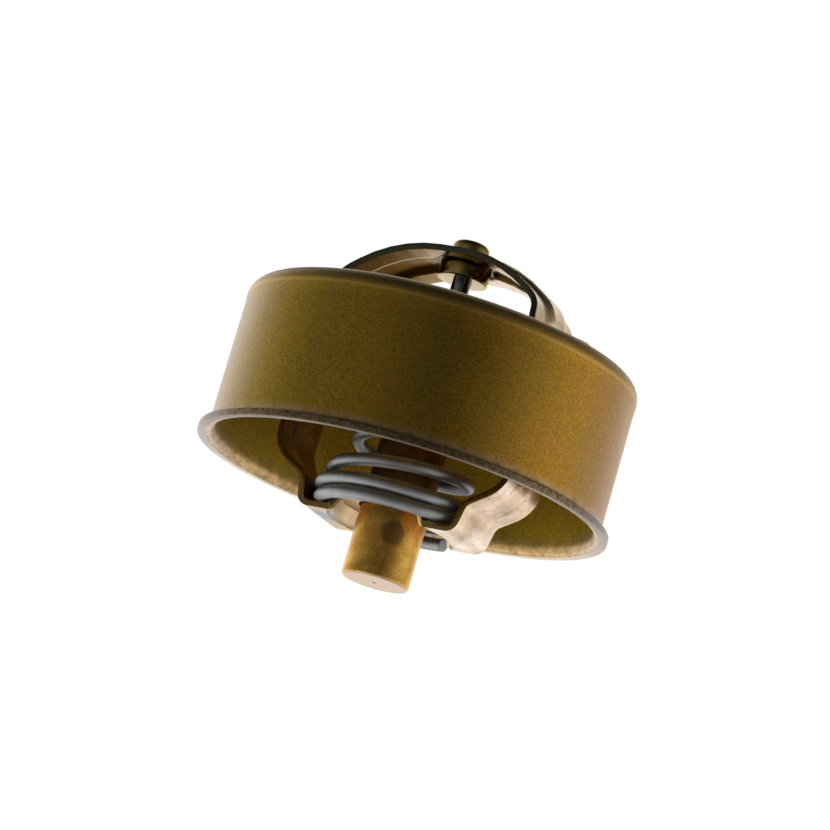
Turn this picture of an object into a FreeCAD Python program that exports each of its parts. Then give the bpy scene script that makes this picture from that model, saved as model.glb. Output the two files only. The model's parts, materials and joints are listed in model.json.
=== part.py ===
import FreeCAD, Part
import math
import os
import re

import Sketcher

# Wax-element engine thermostat with a deep sleeve.
# X runs along the two bridges and Z is the axis of the valve. The origin is where that axis
# meets the plane of the sleeve's open edge, and the piston's bridge is at the top.

# Driving dimensions in millimetres. A level is a height above the origin.
DIMENSIONS = {
    # Deep-drawn sleeve with its turned-out lip and the valve seat
    "sleeve_radius": 31.75,
    "sleeve_height": 25.5,
    "sheet": 1.1,
    "shoulder_bend": 2.7,
    "lip_radius": 33.25,
    "lip_edge": 1.1,
    "lip_fillet": 0.8,
    "lip_flare": 1.7,
    "seat_radius": 16.5,
    # Both bridges are stamped from strip and end in feet on the sleeve's top
    "strip": 1.0,
    "foot_reach": 26.6,
    "foot_bend": 1.3,
    "foot_half": 9.0,
    "foot_corner": 3.0,
    "emboss": 0.8,
    "emboss_half": 3.2,
    "emboss_bend": 0.5,
    # Upper bridge, by the middle lines of its underside
    "crown_level": 37.25,
    "crown_half": 8.75,
    "crown_bend": 21.0,
    "knee_level": 31.5,
    "knee_half": 16.35,
    "knee_bend": 4.2,
    "ankle_half": 17.9,
    "upper_half": 7.5,
    "upper_waist_level": 32.6,
    "upper_flare_level": 27.8,
    "waist_bend": 5.0,
    "rib_end_level": 28.8,
    "pad_radius": 5.3,
    # Lower bridge, by its outer face
    "basket_floor": -6.7,
    "basket_half": 13.72,
    "floor_bend": 2.1,
    "hip_half": 14.64,
    "hip_level": -2.1,
    "hip_bend": 1.6,
    "arm_half": 20.65,
    "arm_level": 1.6,
    "arm_bend": 6.5,
    "lower_half": 6.3,
    "lower_waist_level": 12.7,
    "lower_flare_level": 19.8,
    "panel_half": 3.0,
    "panel_depth": 0.35,
    "panel_low_level": -1.0,
    "panel_high_level": 15.7,
    "collar_base": 10.1,
    "collar_rim": 8.8,
    "collar_rise": 2.7,
    "collar_bend": 0.5,
    "collar_shift": 0.62,
    "stem_hole": 5.8,
    # Rivets through the upper foot, the sleeve and the lower foot
    "rivet_along": 24.3,
    "rivet_across": 4.4,
    "rivet_shank": 1.2,
    "rivet_head": 2.0,
    "rivet_dome": 0.5,
    # Turned plug that carries the piston
    "plug_radius": 4.1,
    "plug_face_level": 34.85,
    "plug_edge": 0.25,
    "plug_neck": 2.4,
    "plug_head": 3.0,
    "plug_head_rise": 2.25,
    "piston_radius": 1.5,
    "piston_top_level": 37.25,
    "piston_tip_level": -8.3,
    "piston_taper_level": -2.3,
    "piston_tip_radius": 0.9,
    # Wax capsule
    "cup_radius": 5.4,
    "cup_wall": 0.9,
    "cup_bottom_level": -15.45,
    "cup_edge": 0.45,
    "cup_dimple": 0.55,
    "flange_radius": 9.5,
    "flange_level": 18.4,
    "flange_thick": 0.9,
    "crimp_level": 21.5,
    "crimp_thick": 0.7,
    "crimp_inner": 7.4,
    # Rubber boot that the wax squeezes, and the washer that backs it
    "boot_radius": 2.9,
    "boot_end": 1.5,
    "boot_collar_top": 20.1,
    "washer_radius": 3.4,
    "washer_thick": 0.6,
    # Piston guide that the crimp holds on the capsule
    "guide_neck": 5.1,
    "guide_groove": 4.5,
    "guide_top_level": 31.2,
    "guide_tip": 3.3,
    "guide_bore": 1.6,
    "ring_level": 23.2,
    "ring_thick": 0.8,
    "ring_radius": 7.0,
    # Dished valve disc
    "disc_level": 22.25,
    "disc_thick": 0.9,
    "disc_hub": 10.3,
    "disc_rim_inner": 15.4,
    "disc_rim": 18.2,
    "disc_rim_level": 23.4,
    # Conical coil spring, by the middle line of its wire, with places along it in turns
    "wire_radius": 1.05,
    "coil_gap": 0.04,
    "coil_first": 11.9,
    "coil_widest": 12.3,
    "coil_last": 7.05,
    "coil_turns": 5.85,
    "coil_start_angle": 68.5,
    "coil_step_turn": 0.64,
    "coil_step_turns": 0.35,
    "coil_climb_turn": 2.0,
    "coil_climb_ease": 0.6,
    "coil_pitch": 5.9,
    "coil_narrow_turn": 1.6,
    "coil_narrow_turns": 2.8,
}

doc = FreeCAD.newDocument("engine_thermostat")
sheet = doc.addObject("Spreadsheet::Sheet", "Sizes")
for row, (alias, value) in enumerate(DIMENSIONS.items(), start=1):
    sheet.set(f"A{row}", alias)
    sheet.set(f"B{row}", str(value))
    sheet.setAlias(f"B{row}", alias)
doc.recompute()

pieces = []
full_turn = 360.0
through_everything = 80.0
same_place = 0.01


def bound(formula):
    """Return a formula in the sheet's words as an expression on the sheet's cells."""
    return re.sub(r"\b([a-z]\w+)\b", r"Sizes.\1", formula)


def size(formula):
    """Return the value of a formula in the sheet's words."""
    return float(sheet.evalExpression(formula))


def new_body(label):
    """Start a PartDesign body that is one piece of the thermostat."""
    body = doc.addObject("PartDesign::Body", label)
    body.Label = label
    pieces.append(body)
    return body


def new_sketch(body, plane):
    """Add a sketch on one of the body's origin planes."""
    sketch = body.newObject("Sketcher::SketchObject", body.Name + "_sketch")
    support = next(f for f in body.Origin.OriginFeatures if f.Role == plane)
    sketch.AttachmentSupport = (support, "")
    sketch.MapMode = "FlatFace"
    return sketch


def draw_outline(sketch, corners, closed=True):
    """Draw straight lines between corners (across, up) or (across, up, bend radius).

    Each corner is a point with two driving dimensions, and a bend is an arc tangent to the
    lines on both sides of it, so the sketch is fully constrained by the sheet.
    """
    count = len(corners)
    points = [FreeCAD.Vector(size(corner[0]), size(corner[1]), 0) for corner in corners]
    arrive, leave, arcs = list(points), list(points), {}
    for i, corner in enumerate(corners):
        if len(corner) < 3:
            continue
        radius = size(corner[2])
        back = (points[i - 1] - points[i]).normalize()
        ahead = (points[(i + 1) % count] - points[i]).normalize()
        half_angle = back.getAngle(ahead) / 2
        middle = points[i] + (back + ahead).normalize() * (radius / math.sin(half_angle))
        arrive[i] = points[i] + back * (radius / math.tan(half_angle))
        leave[i] = points[i] + ahead * (radius / math.tan(half_angle))
        turns_left = back.cross(ahead).z < 0
        ends = (arrive[i], leave[i]) if turns_left else (leave[i], arrive[i])
        angles = [math.atan2(end.y - middle.y, end.x - middle.x) for end in ends]
        circle = Part.Circle(middle, FreeCAD.Vector(0, 0, 1), radius)
        arcs[i] = (Part.ArcOfCircle(circle, *angles), 1 if turns_left else 2, radius)
    sides = count if closed else count - 1
    lines = []
    for i in range(sides):
        lines.append(sketch.addGeometry(Part.LineSegment(leave[i], arrive[(i + 1) % count])))
    rules, driven = [], []
    for i, corner in enumerate(corners):
        before = lines[i - 1] if closed or i else None
        after = lines[i] if i < sides else None
        if i in arcs:
            arc_shape, first_end, radius = arcs[i]
            arc = sketch.addGeometry(arc_shape)
            corner_point = sketch.addGeometry(Part.Point(points[i]), True)
            rules.append(Sketcher.Constraint("Tangent", before, 2, arc, first_end))
            rules.append(Sketcher.Constraint("Tangent", arc, 3 - first_end, after, 1))
            rules.append(Sketcher.Constraint("PointOnObject", corner_point, 1, before))
            rules.append(Sketcher.Constraint("PointOnObject", corner_point, 1, after))
            driven.append((len(rules), corner[2]))
            rules.append(Sketcher.Constraint("Radius", arc, radius))
            place = (corner_point, 1)
        elif after is None:
            place = (before, 2)
        else:
            place = (after, 1)
            if before is not None:
                rules.append(Sketcher.Constraint("Coincident", before, 2, after, 1))
        for axis, kind in enumerate(("DistanceX", "DistanceY")):
            driven.append((len(rules), corner[axis]))
            rules.append(Sketcher.Constraint(kind, -1, 1, *place, points[i][axis]))
    first = sketch.ConstraintCount
    sketch.addConstraint(rules)
    for index, formula in driven:
        sketch.setExpression(f"Constraints[{first + index}]", bound(formula))


def draw_circle(sketch, across, up, radius):
    """Draw a circle whose centre and radius are driven by the sheet."""
    centre = FreeCAD.Vector(size(across), size(up), 0)
    circle = sketch.addGeometry(Part.Circle(centre, FreeCAD.Vector(0, 0, 1), size(radius)))
    first = sketch.ConstraintCount
    sketch.addConstraint([
        Sketcher.Constraint("DistanceX", -1, 1, circle, 3, centre.x),
        Sketcher.Constraint("DistanceY", -1, 1, circle, 3, centre.y),
        Sketcher.Constraint("Radius", circle, size(radius)),
    ])
    for index, formula in enumerate((across, up, radius)):
        sketch.setExpression(f"Constraints[{first + index}]", bound(formula))


def revolve(body, corners, cut=False):
    """Turn a closed outline of (radius, level) corners about the valve's axis."""
    sketch = new_sketch(body, "XZ_Plane")
    draw_outline(sketch, corners)
    kind = "PartDesign::Groove" if cut else "PartDesign::Revolution"
    feature = body.newObject(kind, body.Name + "_turned")
    feature.Profile = sketch
    feature.ReferenceAxis = (sketch, ["V_Axis"])
    feature.Angle = full_turn
    doc.recompute()
    return feature


def extrude(body, profile, length, cut=False):
    """Pad or pocket a profile by a length that is centred on the profile's plane."""
    kind = "PartDesign::Pocket" if cut else "PartDesign::Pad"
    feature = body.newObject(kind, body.Name + ("_cut" if cut else "_pad"))
    feature.Profile = profile
    feature.SideType = "Symmetric"
    feature.setExpression("Length", bound(length))
    doc.recompute()
    return feature


def round_edges(body, radius, wanted):
    """Fillet the edges of the body's last feature that wanted(edge) picks."""
    base = body.Tip
    names = [f"Edge{i}" for i, edge in enumerate(base.Shape.Edges, start=1) if wanted(edge)]
    fillet = body.newObject("PartDesign::Fillet", body.Name + "_fillet")
    fillet.Base = (base, names)
    fillet.setExpression("Radius", bound(radius))
    doc.recompute()
    return fillet


def mirrored(corners):
    """Return a path's corners and, before them, the same corners with X turned round."""
    other_side = [(f"-({corner[0]})", *corner[1:]) for corner in reversed(corners)]
    return other_side + corners


def strip_along(body, path, depth, width, cut=False):
    """Pad or pocket a strip of the given depth and width that lies on one side of a path."""
    sketch = new_sketch(body, "XZ_Plane")
    draw_outline(sketch, path, closed=False)
    ribbon = body.newObject("PartDesign::SubShapeBinder", body.Name + "_ribbon")
    ribbon.Support = [(sketch, ("",))]
    ribbon.OffsetFill = True
    ribbon.OffsetOpenResult = True
    ribbon.setExpression("Offset", bound(depth))
    doc.recompute()
    return extrude(body, ribbon, width, cut)


def trim_sides(body, half_width, waist_level, flare_level, far_level):
    """Cut the strip to its narrow width beyond the flare of its feet."""
    for side in ("", "-"):
        sketch = new_sketch(body, "YZ_Plane")
        draw_outline(sketch, [
            (f"{side}2 * foot_half", flare_level),
            (f"{side}foot_half", flare_level),
            (f"{side}{half_width}", waist_level, "waist_bend"),
            (f"{side}{half_width}", far_level),
            (f"{side}2 * foot_half", far_level),
        ])
        extrude(body, sketch, str(through_everything), cut=True)


def cut_rivet_holes(body):
    """Cut the four rivet holes through a foot or through the sleeve's top."""
    sketch = new_sketch(body, "XY_Plane")
    for along in ("rivet_along", "-rivet_along"):
        for across in ("rivet_across", "-rivet_across"):
            draw_circle(sketch, along, across, "rivet_shank")
    extrude(body, sketch, str(through_everything), cut=True)


def is_foot_corner(edge):
    """Tell the short upright edges at the ends of a bridge's feet."""
    box = edge.BoundBox
    upright = box.XLength < same_place and box.YLength < same_place
    return upright and abs(box.XMin) > size("foot_reach") - same_place


def make_sleeve():
    """Deep-drawn sleeve: seat, shoulder, straight wall and a lip flared like a trumpet."""
    body = new_body("sleeve")
    revolve(body, [
        ("lip_radius", "0"),
        ("lip_radius", "lip_edge"),
        ("sleeve_radius", "lip_edge", "lip_fillet"),
        ("sleeve_radius", "sleeve_height", "shoulder_bend"),
        ("seat_radius", "sleeve_height"),
        ("seat_radius", "sleeve_height - sheet"),
        ("sleeve_radius - sheet", "sleeve_height - sheet", "shoulder_bend - sheet"),
        ("sleeve_radius - sheet", "0", "lip_flare"),
    ])
    cut_rivet_holes(body)


def point_on_leg(level):
    """Return the point of the upper bridge's leg, on its underside, at a level."""
    slope = "(ankle_half - knee_half) / (knee_level - sleeve_height)"
    return (f"knee_half + (knee_level - ({level})) * {slope}", level)


def make_upper_bridge():
    """Arched strip over the sleeve, stiffened by a rib that widens to a round pad."""
    body = new_body("upper_bridge")
    arch = [
        ("crown_half", "crown_level", "crown_bend"),
        ("knee_half", "knee_level", "knee_bend"),
    ]
    feet = [
        ("ankle_half", "sleeve_height", "foot_bend + strip"),
        ("foot_reach", "sleeve_height"),
    ]
    rib_path = mirrored(arch + [point_on_leg("rib_end_level")])
    channel_path = mirrored(arch + [point_on_leg("rib_end_level + strip")])
    strip_along(body, mirrored(arch + feet), "strip", "2 * foot_half")
    trim_sides(body, "upper_half", "upper_waist_level", "upper_flare_level",
               "crown_level + 2 * strip")
    strip_along(body, rib_path, "strip + emboss", "2 * emboss_half")
    pad_top = "crown_level + strip + emboss"
    revolve(body, [
        ("0", "crown_level"),
        ("pad_radius", "crown_level"),
        ("pad_radius", pad_top, "emboss_bend"),
        ("0", pad_top),
    ])
    strip_along(body, channel_path, "emboss", "2 * (emboss_half - emboss)", cut=True)
    revolve(body, [
        ("0", "crown_level - emboss"),
        ("pad_radius - emboss", "crown_level - emboss"),
        ("pad_radius - emboss", "crown_level + emboss"),
        ("0", "crown_level + emboss"),
    ], cut=True)
    revolve(body, [
        ("0", "crown_level - emboss"),
        ("plug_neck", "crown_level - emboss"),
        ("plug_neck", f"{pad_top} + emboss"),
        ("0", f"{pad_top} + emboss"),
    ], cut=True)
    cut_rivet_holes(body)
    round_edges(body, "foot_corner", is_foot_corner)


def point_on_arm(level):
    """Return the point of the lower bridge's sloping arm, on its outer face, at a level."""
    slope = "(arm_half - hip_half) / (arm_level - hip_level)"
    return (f"hip_half + ({level} - hip_level) * {slope}", level)


def make_lower_bridge():
    """U-shaped strip under the seat: the spring's floor, with a drawn-up boss for the stem."""
    body = new_body("lower_bridge")
    arm = [
        ("basket_half", "basket_floor", "floor_bend"),
        ("hip_half", "hip_level", "hip_bend"),
        ("arm_half", "arm_level", "arm_bend"),
    ]
    foot_level = "sleeve_height - sheet - strip"
    feet = [
        ("arm_half", foot_level, "foot_bend"),
        ("foot_reach", foot_level),
    ]
    panel = [
        point_on_arm("panel_low_level"),
        ("arm_half", "arm_level", "arm_bend"),
        ("arm_half", "panel_high_level"),
    ]
    strip_along(body, mirrored(arm + feet), "strip", "2 * foot_half")
    revolve(body, [
        ("0", "basket_floor - strip"),
        ("collar_base + strip", "basket_floor - strip"),
        ("collar_base + strip", "basket_floor + 2 * strip"),
        ("0", "basket_floor + 2 * strip"),
    ], cut=True)
    revolve(body, [
        ("collar_base + strip", "basket_floor"),
        ("collar_base + strip", "basket_floor + strip"),
        ("collar_base + collar_shift", "basket_floor + strip"),
        ("collar_rim + collar_shift", "basket_floor + strip + collar_rise", "collar_bend + strip"),
        ("stem_hole", "basket_floor + strip + collar_rise"),
        ("stem_hole", "basket_floor + collar_rise"),
        ("collar_rim", "basket_floor + collar_rise", "collar_bend"),
        ("collar_base", "basket_floor", "collar_bend"),
    ])
    for side in (panel, mirrored(panel)[:len(panel)]):
        strip_along(body, side, "strip + panel_depth", "2 * panel_half")
        strip_along(body, side, "panel_depth", "2 * (panel_half - panel_depth)", cut=True)
    trim_sides(body, "lower_half", "lower_waist_level", "lower_flare_level",
               "basket_floor - 2 * strip")
    cut_rivet_holes(body)
    round_edges(body, "foot_corner", is_foot_corner)


def make_rivets():
    """Four rivets with low cone-shaped heads that clamp both bridges to the sleeve's top."""
    top = "sleeve_height + strip"
    bottom = "sleeve_height - sheet - strip"
    number = 0
    for along in (1, -1):
        for across in (1, -1):
            number += 1
            body = new_body(f"bridge_rivet_{number}")
            revolve(body, [
                ("0", f"{bottom} - rivet_dome"),
                ("rivet_head - rivet_dome", f"{bottom} - rivet_dome"),
                ("rivet_head", bottom),
                ("rivet_shank", bottom),
                ("rivet_shank", top),
                ("rivet_head", top),
                ("rivet_head - rivet_dome", f"{top} + rivet_dome"),
                ("0", f"{top} + rivet_dome"),
            ])
            body.setExpression("Placement.Base.x", f"{along} * Sizes.rivet_along")
            body.setExpression("Placement.Base.y", f"{across} * Sizes.rivet_across")


def make_piston_plug():
    """Turned plug, riveted over on top of the bridge, with a blind bore for the piston."""
    body = new_body("piston_plug")
    seat = "crown_level + emboss"
    top = "crown_level + emboss + strip"
    revolve(body, [
        ("piston_radius", "plug_face_level"),
        ("plug_radius - plug_edge", "plug_face_level"),
        ("plug_radius", "plug_face_level + plug_edge"),
        ("plug_radius", seat),
        ("plug_neck", seat),
        ("plug_neck", top),
        ("plug_head", top),
        ("plug_head", f"{top} + plug_head_rise", "plug_head_rise / 2"),
        ("0", f"{top} + plug_head_rise"),
        ("0", "piston_top_level"),
        ("piston_radius", "piston_top_level"),
    ])


def make_piston():
    """Ground steel piston, fixed in the plug, with the taper that the wax squeezes out."""
    body = new_body("piston")
    revolve(body, [
        ("0", "piston_tip_level"),
        ("piston_tip_radius", "piston_tip_level"),
        ("piston_radius", "piston_taper_level"),
        ("piston_radius", "piston_top_level"),
        ("0", "piston_top_level"),
    ])


def make_capsule_cup():
    """Drawn cup for the wax, with a stepped flange crimped over the guide."""
    body = new_body("capsule_cup")
    inner = "cup_radius - cup_wall"
    crimp_top = "crimp_level + crimp_thick"
    revolve(body, [
        ("0", "cup_bottom_level"),
        ("cup_radius", "cup_bottom_level", "cup_edge"),
        ("cup_radius", "flange_level"),
        ("flange_radius", "flange_level"),
        ("flange_radius", crimp_top),
        ("crimp_inner", crimp_top),
        ("crimp_inner", "crimp_level"),
        ("flange_radius - flange_thick", "crimp_level"),
        ("flange_radius - flange_thick", "flange_level + flange_thick"),
        (inner, "flange_level + flange_thick"),
        (inner, "cup_bottom_level + cup_wall"),
        ("0", "cup_bottom_level + cup_wall"),
    ])
    revolve(body, [
        ("0", "cup_bottom_level - cup_dimple"),
        ("cup_dimple", "cup_bottom_level - cup_dimple"),
        ("0", "cup_bottom_level + cup_dimple / 2"),
    ], cut=True)


def make_wax_charge():
    """Wax that fills the cup round the rubber boot."""
    body = new_body("wax_charge")
    boot_bottom = "piston_tip_level - boot_end"
    revolve(body, [
        ("0", "cup_bottom_level + cup_wall"),
        ("cup_radius - cup_wall", "cup_bottom_level + cup_wall"),
        ("cup_radius - cup_wall", "flange_level + flange_thick"),
        ("boot_radius", "flange_level + flange_thick"),
        ("boot_radius", boot_bottom, "boot_end"),
        ("0", boot_bottom),
    ])


def make_rubber_boot():
    """Moulded boot round the piston, closed below, with a collar clamped by the crimp."""
    body = new_body("rubber_boot")
    boot_bottom = "piston_tip_level - boot_end"
    revolve(body, [
        ("0", boot_bottom),
        ("boot_radius", boot_bottom, "boot_end"),
        ("boot_radius", "flange_level + flange_thick"),
        ("flange_radius - flange_thick", "flange_level + flange_thick"),
        ("flange_radius - flange_thick", "boot_collar_top"),
        ("guide_bore", "boot_collar_top"),
        ("guide_bore", "piston_taper_level"),
        ("piston_tip_radius + guide_bore - piston_radius", "piston_tip_level"),
        ("0", "piston_tip_level"),
    ])


def make_backup_washer():
    """Hard washer on top of the boot that keeps the rubber out of the guide's bore."""
    body = new_body("backup_washer")
    revolve(body, [
        ("guide_bore", "boot_collar_top"),
        ("washer_radius", "boot_collar_top"),
        ("washer_radius", "boot_collar_top + washer_thick"),
        ("guide_bore", "boot_collar_top + washer_thick"),
    ])


def make_capsule_guide():
    """Turned guide with a flange, a groove for the lock ring and the piston's bore."""
    body = new_body("capsule_guide")
    revolve(body, [
        ("washer_radius", "boot_collar_top"),
        ("flange_radius - flange_thick", "boot_collar_top"),
        ("flange_radius - flange_thick", "crimp_level"),
        ("guide_neck", "crimp_level"),
        ("guide_neck", "ring_level"),
        ("guide_groove", "ring_level"),
        ("guide_groove", "ring_level + ring_thick"),
        ("guide_neck", "ring_level + ring_thick"),
        ("guide_tip", "guide_top_level"),
        ("guide_bore", "guide_top_level"),
        ("guide_bore", "boot_collar_top + washer_thick"),
        ("washer_radius", "boot_collar_top + washer_thick"),
    ])


def make_valve_disc():
    """Dished disc that closes on the underside of the seat."""
    body = new_body("valve_disc")
    revolve(body, [
        ("guide_neck", "disc_level"),
        ("disc_hub", "disc_level"),
        ("disc_rim_inner", "disc_rim_level"),
        ("disc_rim", "disc_rim_level"),
        ("disc_rim", "disc_rim_level + disc_thick"),
        ("disc_rim_inner", "disc_rim_level + disc_thick"),
        ("disc_hub", "disc_level + disc_thick"),
        ("guide_neck", "disc_level + disc_thick"),
    ])


def make_valve_lock_ring():
    """Open ring in the guide's groove that holds the valve disc down on the capsule."""
    body = new_body("valve_lock_ring")
    revolve(body, [
        ("guide_groove", "ring_level"),
        ("ring_radius", "ring_level"),
        ("ring_radius", "ring_level + ring_thick"),
        ("guide_groove", "ring_level + ring_thick"),
    ])
    sketch = new_sketch(body, "XY_Plane")
    draw_outline(sketch, [
        ("0", "-guide_bore"),
        ("ring_radius + ring_thick", "-guide_bore"),
        ("ring_radius + ring_thick", "guide_bore"),
        ("0", "guide_bore"),
    ])
    extrude(body, sketch, str(through_everything), cut=True)


def smooth_step(share):
    """Return 0 up to a share of 0, 1 from a share of 1 on, and a smooth rise between them."""
    share = min(1.0, max(0.0, share))
    return share * share * (3 - 2 * share)


def climb_after(start, turn):
    """Return the turns climbed since a start, where the slope sets in gently."""
    ease = size("coil_climb_ease")
    past = max(0.0, turn - start)
    return past * past / (2 * ease) if past < ease else past - ease / 2


def spring_line(turn):
    """Return the wire's middle point after so many turns up from the cut lower end.

    The wire lies flat on the bridge, steps up over its own cut end, lies on itself for one
    more turn and steps up again. Then it climbs while it narrows, and ends flat under the
    capsule's flange.
    """
    bottom = size("basket_floor + strip + wire_radius + coil_gap")
    top = size("flange_level - wire_radius - coil_gap")
    lift = size("2 * (wire_radius + coil_gap)")
    step_turn, step_turns = size("coil_step_turn"), size("coil_step_turns")
    steps = sum(smooth_step((turn - coil - step_turn) / step_turns) for coil in (0, 1))
    climb_turn = size("coil_climb_turn")
    climb_turns = (top - bottom - 2 * lift) / size("coil_pitch")
    climb = climb_after(climb_turn, turn) - climb_after(climb_turn + climb_turns, turn)
    level = bottom + lift * steps + size("coil_pitch") * climb
    wide = smooth_step((turn - step_turn) / step_turns)
    narrow = smooth_step((turn - size("coil_narrow_turn")) / size("coil_narrow_turns"))
    radius = size("coil_first") + size("coil_widest - coil_first") * wide
    radius -= size("coil_widest - coil_last") * narrow
    angle = math.radians(size("coil_start_angle") + full_turn * turn)
    return FreeCAD.Vector(radius * math.cos(angle), radius * math.sin(angle), level)


def make_coil_spring():
    """Round wire swept along a cone-shaped coil between the lower bridge and the capsule."""
    points_per_turn = 24
    count = round(size("coil_turns") * points_per_turn)
    points = [spring_line(size("coil_turns") * i / count) for i in range(count + 1)]
    curve = Part.BSplineCurve()
    curve.interpolate(points)
    wire = Part.Wire([curve.toShape()])
    section = Part.Wire([Part.Circle(points[0], curve.tangent(0)[0], size("wire_radius")).toShape()])
    section_area = math.pi * size("wire_radius") ** 2
    sweep = Part.BRepOffsetAPI.MakePipeShell(wire)
    sweep.setFrenetMode(True)
    sweep.add(section)
    sweep.build()
    sweep.makeSolid()
    spring = doc.addObject("Part::Feature", "coil_spring")
    spring.Label = "coil_spring"
    spring.Shape = sweep.shape()
    pieces.append(spring)
    print("volume by length and section", round(wire.Length * section_area, 1))


make_sleeve()
make_upper_bridge()
make_lower_bridge()
make_rivets()
make_piston_plug()
make_piston()
make_coil_spring()
make_capsule_cup()
make_wax_charge()
make_rubber_boot()
make_backup_washer()
make_capsule_guide()
make_valve_disc()
make_valve_lock_ring()
doc.recompute()

for item in doc.Objects:
    if "Invalid" in item.State or "Error" in item.State:
        raise RuntimeError(f"{item.Label} failed: {item.State}")
for piece in pieces:
    if piece.Shape.isNull() or not piece.Shape.isValid() or not piece.Shape.Solids:
        raise RuntimeError(f"{piece.Label} has no valid solid")

os.makedirs("parts", exist_ok=True)
for piece in pieces:
    piece.Shape.exportStep(os.path.join("parts", piece.Label + ".step"))
    print(piece.Label, len(piece.Shape.Solids), round(piece.Shape.Volume, 1))
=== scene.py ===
# Engine thermostat: drawn brass sleeve, two stamped bridges, coil spring and wax capsule
import json
import math

import bmesh
import bpy
import numpy as np
from mathutils import Matrix, Vector


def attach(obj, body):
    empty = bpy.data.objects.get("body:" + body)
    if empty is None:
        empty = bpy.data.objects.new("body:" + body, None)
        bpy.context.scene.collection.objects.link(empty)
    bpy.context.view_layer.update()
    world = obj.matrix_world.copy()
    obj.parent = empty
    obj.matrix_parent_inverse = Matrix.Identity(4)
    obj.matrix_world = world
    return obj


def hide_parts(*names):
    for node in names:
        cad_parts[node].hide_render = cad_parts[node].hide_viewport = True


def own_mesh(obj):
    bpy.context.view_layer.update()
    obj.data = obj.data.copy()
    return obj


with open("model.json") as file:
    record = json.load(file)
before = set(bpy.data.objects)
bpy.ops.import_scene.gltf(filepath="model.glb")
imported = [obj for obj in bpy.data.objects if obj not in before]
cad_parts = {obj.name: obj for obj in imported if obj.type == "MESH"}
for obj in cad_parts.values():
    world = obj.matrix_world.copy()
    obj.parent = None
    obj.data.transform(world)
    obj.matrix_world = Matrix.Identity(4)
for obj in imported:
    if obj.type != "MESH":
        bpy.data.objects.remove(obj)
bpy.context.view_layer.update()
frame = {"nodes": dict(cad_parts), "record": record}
mm = 0.001                                       # sizes are in millimetres, meshes in metres
print("frame loaded")


# Shader expressions

class Value:                                     # a shader socket that takes part in sums
    def __init__(self, tree, socket):
        self.tree = tree
        self.socket = socket

    def node(self, kind, settings=None, inputs=None, output=0):
        made = self.tree.nodes.new(kind)
        for name, setting in (settings or {}).items():
            setattr(made, name, setting)
        for name, value in (inputs or {}).items():
            if isinstance(value, Value):
                self.tree.links.new(value.socket, made.inputs[name])
            else:
                made.inputs[name].default_value = value
        return Value(self.tree, made.outputs[output])

    def sum(self, operation, *values):
        return self.node("ShaderNodeMath", {"operation": operation}, dict(enumerate(values)))

    def __add__(self, other):
        return self.sum("ADD", self, other)

    def __radd__(self, other):
        return self.sum("ADD", other, self)

    def __sub__(self, other):
        return self.sum("SUBTRACT", self, other)

    def __rsub__(self, other):
        return self.sum("SUBTRACT", other, self)

    def __mul__(self, other):
        return self.sum("MULTIPLY", self, other)

    def __rmul__(self, other):
        return self.sum("MULTIPLY", other, self)

    def __truediv__(self, other):
        return self.sum("DIVIDE", self, other)

    def __pow__(self, other):
        return self.sum("POWER", self, other)

    def size(self):
        return self.sum("ABSOLUTE", self)

    def held(self):                              # kept between 0 and 1
        return self.sum("MINIMUM", self.sum("MAXIMUM", self, 0.0), 1.0)

    def step(self, low, high):                   # 0 below low, 1 above high, smooth between
        return self.node("ShaderNodeMapRange", {"interpolation_type": "SMOOTHSTEP"},
                         {"Value": self, "From Min": low, "From Max": high})

    def past(self, span, start=0.0):             # the same for a length, with millimetres from start
        return self.step((start + span[0]) * mm, (start + span[1]) * mm)

    def blend(self, first, second):              # colour that goes from first to second
        return self.node("ShaderNodeMix", {"data_type": "RGBA"},
                         {"Factor": self, 6: asColour(first), 7: asColour(second)}, output=2)


def asColour(colour):
    return colour if isinstance(colour, Value) else (*colour, 1.0)


def coat(colour, mask, share, tone):             # tone covers a share of colour where mask is 1
    return (mask * share).blend(colour, tone)


def darker(colour, share):                       # the same hue at a share of its brightness
    return colour.node("ShaderNodeMix", {"data_type": "RGBA", "blend_type": "MULTIPLY"},
                       {"Factor": 1.0, 6: colour, 7: (share, share, share, 1.0)}, output=2)


def newMaterial(name):
    material = bpy.data.materials.new(name)
    material.use_nodes = True
    tree = material.node_tree
    shader = tree.nodes["Principled BSDF"]
    coords = tree.nodes.new("ShaderNodeTexCoord")
    return material, shader, Value(tree, coords.outputs["Object"])


def feed(shader, name, value):
    if isinstance(value, Value):
        value.tree.links.new(value.socket, shader.inputs[name])
    elif isinstance(value, tuple):
        shader.inputs[name].default_value = (*value, 1.0)
    else:
        shader.inputs[name].default_value = value


def noise(place, scale, detail=3.0, rough=0.55, stretch=(1, 1, 1), contrast=None):
    spread = place.node("ShaderNodeMapping", None, {"Vector": place, "Scale": stretch})
    cloud = place.node("ShaderNodeTexNoise", None,
                       {"Vector": spread, "Scale": scale, "Detail": detail, "Roughness": rough})
    return cloud if contrast is None else cloud.step(*contrast)


def axes(place):
    split = place.node("ShaderNodeSeparateXYZ", None, {"Vector": place})
    outputs = split.socket.node.outputs
    return [Value(place.tree, outputs[axis]) for axis in "XYZ"]


def bump(height, depth):                         # depth in metres
    return height.node("ShaderNodeBump", None, {"Height": height, "Distance": depth})


def near(place, centre, radius, soft):           # 1 inside a ball, 0 outside, all in millimetres
    middle = tuple(part * mm for part in centre)
    distance = place.node("ShaderNodeVectorMath", {"operation": "DISTANCE"},
                          {0: place, 1: middle}, output=1)
    return 1 - distance.past((-soft, soft), radius)


# Camera, backdrop and light

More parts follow.
